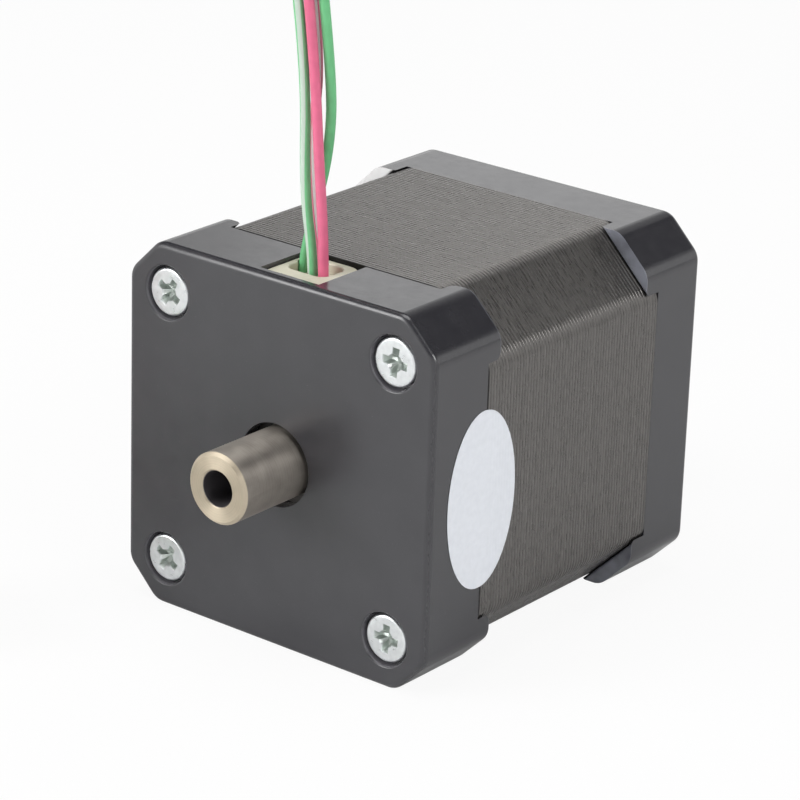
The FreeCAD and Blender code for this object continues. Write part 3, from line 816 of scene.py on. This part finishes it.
def insulation(name, colour, stripe_colour=None, stripe_start=0.0, stripe_turns=0.0, stripe_half=0.0):
    """Soft satin insulation of a lead. A stripe, where it has one, winds slowly round the lead."""
    made = Finish(name)
    along, around, _ = made.axes(made.node("TexCoord").outputs["UV"])
    cloud = made.noise(1.2 * mm, 3.0)
    dark = tuple(0.9 * part for part in colour)
    shade = made.tinted(cloud, dark, colour)
    if stripe_colour:
        middle = made.math("ADD", made.math("MULTIPLY", along, stripe_turns), stripe_start)
        off_stripe = made.off_whole(made.math("SUBTRACT", around, middle))
        edge = made.math("ADD", off_stripe, made.math("MULTIPLY", cloud, 0.02))
        shade = made.mixed(made.between(edge, 1, 0, stripe_half, stripe_half + 0.02), shade, stripe_colour)
    made.set(Base_Color=shade, Roughness=made.clouded(made.noise(0.6 * mm), 0.36, 0.5))
    made.bumped(made.noise(0.35 * mm, 2.0), 0.006 * mm)
    return made.material


def label_paper():
    """Coated paper: cool white, a faint fibre, and the sheets' edges showing through as slight ripples."""
    made = Finish("label_paper")
    fibre = made.noise(0.7 * mm, 4.0)
    made.set(Base_Color=made.tinted(fibre, (0.74, 0.765, 0.815), (0.785, 0.81, 0.86)))
    made.set(Roughness=made.clouded(fibre, 0.32, 0.44))
    y = made.axes()[1]
    ripple = made.math("SINE", made.math("MULTIPLY", y, full_turn / sheet_pitch))
    on_sheets = made.between(y, 0, 1, stack_low.y, stack_low.y + 0.5 * mm)
    made.bumped(made.math("ADD", made.math("MULTIPLY", ripple, on_sheets), fibre), 0.006 * mm)
    return made.material


def dress(finish, *names):
    """Gives CAD nodes a finish."""
    for name in names:
        for place in nodes[name].material_slots:
            place.material = finish


def floor():
    """Wide pale floor with a faint shadow, white to the camera.

    Reflections see more of the shadow, most of all near the motor.
    """
    made = Finish("pale_floor", roughness=0.9)
    made.set(Base_Color=(floor_grey, floor_grey, floor_grey, 1), Specular_IOR_Level=0.0)
    ray = made.node("LightPath").outputs
    seen = made.math("ADD", ray["Is Camera Ray"], ray["Is Transmission Ray"])
    seen = made.math("MULTIPLY", seen, floor_glow_seen)
    x, y, _ = made.axes()
    away = made.length(x, made.math("SUBTRACT", y, rear_face / 2), 0.0)
    mirrored = made.between(away, floor_glow_near, floor_glow_far, floor_near, floor_far)
    mirrored = made.math("MULTIPLY", ray["Is Glossy Ray"], mirrored)
    glow = made.node("Emission", [(1, 1, 1, 1), 1.0])
    share = made.math("ADD", seen, mirrored, clamp=True)
    both = made.node("MixShader", [share, made.shader.outputs[0], glow.outputs[0]])
    made.feed(made.tree.nodes["Material Output"].inputs["Surface"], both.outputs[0])
    corners = floor_reach * np.array([(-1, -1), (1, -1), (1, 1), (-1, 1)])
    mesh = bpy.data.meshes.new("floor")
    mesh.from_pydata(np.column_stack([corners, np.full(4, floor_z)]), [], [(0, 1, 2, 3)])
    mesh.materials.append(made.material)
    plane = new_object("floor", mesh)


def lamp(name):
    """Square soft lamp that faces the motor."""
    place, size, power = lamps[name]
    data = bpy.data.lights.new(name, "AREA")
    data.size = size
    data.energy = power
    made = new_object(name, data)
    aim = lamp_target - Vector(place)
    made.matrix_world = Matrix.Translation(place) @ aim.to_track_quat("-Z", "Y").to_matrix().to_4x4()


def room():
    """White walls up to a low height, a little lower at the left, and a dark room above them."""
    world = bpy.data.worlds.new("studio")
    world.use_nodes = True
    tree = world.node_tree
    direction = tree.nodes.new("ShaderNodeTexCoord")
    parts = tree.nodes.new("ShaderNodeSeparateXYZ")
    ramp = tree.nodes.new("ShaderNodeValToRGB")
    shift = tree.nodes.new("ShaderNodeMapRange")
    height = tree.nodes.new("ShaderNodeMath")
    for socket, value in zip(shift.inputs[1:5], (wall_left, wall_right, wall_left_shift, wall_right_shift)):
        socket.default_value = value
    ramp.color_ramp.elements.new(0.5)
    for element, (position, level) in zip(ramp.color_ramp.elements, wall_levels):
        element.position = position
        element.color = (level, level, level, 1)
    tree.links.new(direction.outputs["Generated"], parts.inputs[0])
    tree.links.new(parts.outputs["X"], shift.inputs[0])
    tree.links.new(parts.outputs["Z"], height.inputs[0])
    tree.links.new(shift.outputs[0], height.inputs[1])
    tree.links.new(height.outputs[0], ramp.inputs[0])
    tree.links.new(ramp.outputs[0], tree.nodes["Background"].inputs["Color"])
    bpy.context.scene.world = world


camera()

# Outside
dress(painted_casting("cap_paint_rear", cap_high.y), "rear_end_cap")
dress(painted_casting("cap_paint_front", flange_low.y), "front_flange")
steel = sheet_steel()
dress(steel, "stator_stack")
sheet_edges(steel)
tie_screws(screw_plating())
mount_threads(turned_metal("cut_thread", (0.16, 0.16, 0.17), (0.30, 0.30, 0.31), 0.35, 0.1 * mm, 0.002 * mm))
label(label_paper())
dress(ground_shaft(), "hollow_shaft")
dress(moulded_plastic("guide_plastic", (0.60, 0.59, 0.465), (0.67, 0.66, 0.535), 0.5), "lead_guide")

# Leads
insulations = {
    "green_white": insulation(
        "green_white_insulation", (0.18, 0.575, 0.26), (0.54, 0.65, 0.56), 0.08, 2.7, 0.085,
    ),
    "pink": insulation("pink_insulation", (0.80, 0.155, 0.285)),
    "pink_white": insulation(
        "pink_white_insulation", (0.82, 0.18, 0.31), (0.97, 0.86, 0.91), 0.325, -0.4, 0.1,
    ),
    "green": insulation("green_insulation", (0.165, 0.56, 0.245)),
}
tin = plated_metal("tin", (0.55, 0.55, 0.53), (0.70, 0.70, 0.68), 0.28)
for name in lead_routes:
    bare_end(name, tin)
    lead(name, insulations[name])
tie(moulded_plastic("tie_plastic", (0.70, 0.70, 0.67), (0.78, 0.78, 0.75), 0.4))

# Inside
insulator = moulded_plastic("insulator_plastic", (0.62, 0.60, 0.52), (0.70, 0.68, 0.60), 0.5)
dress(insulator, "front_insulator", "rear_insulator")
dress(wound_wire("copper_wire"), *["winding_" + str(number) for number in range(1, 9)])
rotor_steel = turned_metal("rotor_steel", (0.26, 0.25, 0.24), (0.40, 0.39, 0.38), 0.36, 0.5 * mm, 0.01 * mm)
dress(rotor_steel, "rotor_cup_front", "rotor_cup_rear")
dress(plated_metal("magnet", (0.10, 0.10, 0.105), (0.16, 0.16, 0.165), 0.5), "rotor_magnet")
ring_steel = turned_metal("ring_steel", (0.52, 0.52, 0.53), (0.66, 0.66, 0.67), 0.22, 0.08 * mm, 0.001 * mm)
pressed = turned_metal("pressed_sheet", (0.20, 0.20, 0.21), (0.30, 0.30, 0.31), 0.35, 0.15 * mm, 0.002 * mm)
brass = turned_metal("cage_brass", (0.48, 0.36, 0.14), (0.62, 0.48, 0.21), 0.3, 0.15 * mm, 0.002 * mm)
ball = plated_metal("ball_steel", (0.66, 0.66, 0.67), (0.74, 0.74, 0.75), 0.1)
for side in ("front", "rear"):
    dress(ring_steel, side + "_bearing_outer_ring", side + "_bearing_inner_ring")
    dress(ball, side + "_bearing_balls")
    dress(brass, side + "_bearing_cage")
    dress(pressed, side + "_bearing_shields", side + "_spacer")
dress(plated_metal("spring_steel", (0.40, 0.40, 0.41), (0.52, 0.52, 0.53), 0.25), "wave_washer")

# Surroundings
floor()
room()
for name in lamps:
    lamp(name)
bpy.context.scene.view_settings.view_transform = "Standard"
